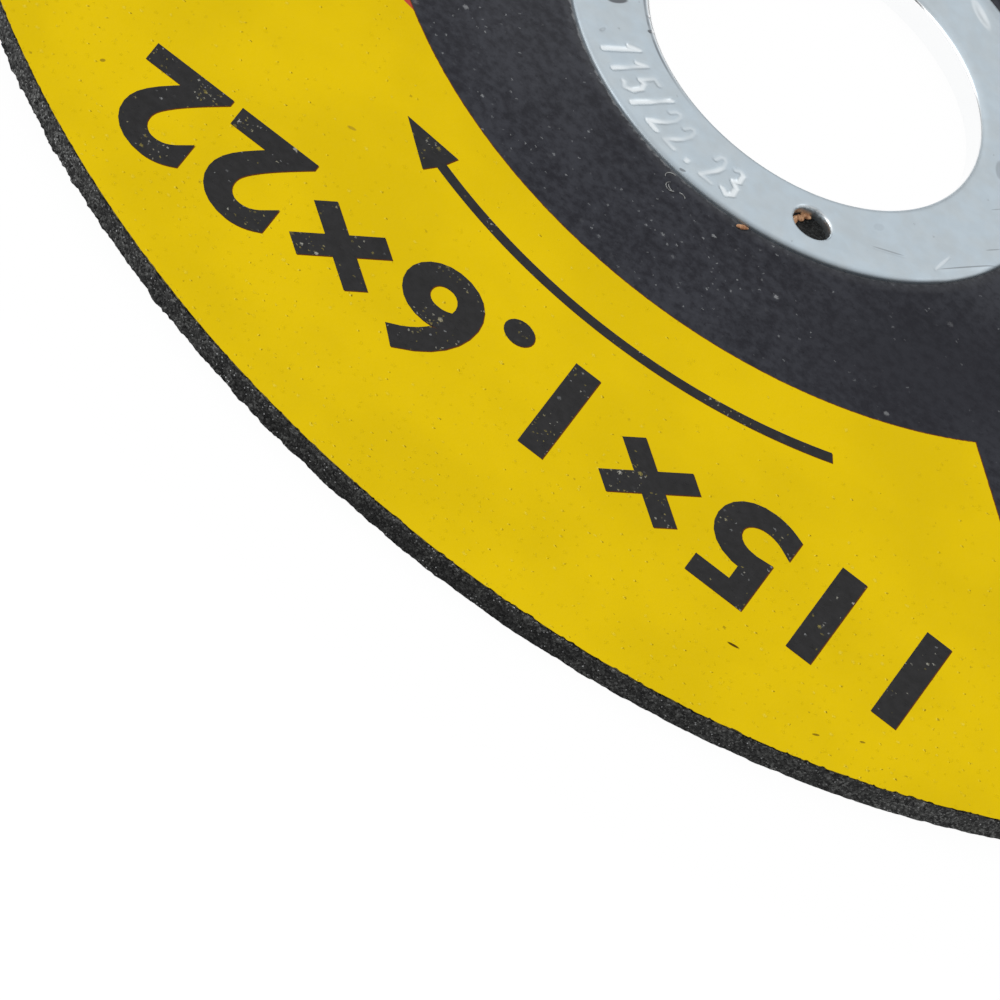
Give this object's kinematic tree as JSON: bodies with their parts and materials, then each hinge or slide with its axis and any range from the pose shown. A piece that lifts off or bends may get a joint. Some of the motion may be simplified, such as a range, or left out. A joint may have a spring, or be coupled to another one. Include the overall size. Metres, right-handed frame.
{
  "type": "cut-off wheel",
  "caption": "Thin flat resin-bonded abrasive wheel with a paper label over its front face and a pressed steel ring lining the bore, for cutting with an angle grinder.",
  "frame": {"origin": "centre of the wheel's back face, on the bore axis", "axes": "+Z along the bore axis, out of the labelled front face; -Y is the side nearest the viewer in the reference picture"},
  "size_m": [0.115, 0.115, 0.0021],
  "materials": {
    "abrasive": "rough",
    "label_paper": "matte",
    "zinc_steel": "satin"
  },
  "bodies": {
    "root": {"abrasive_disc": "abrasive", "label": "label_paper", "centre_ring": "zinc_steel"}
  },
  "joints": []
}
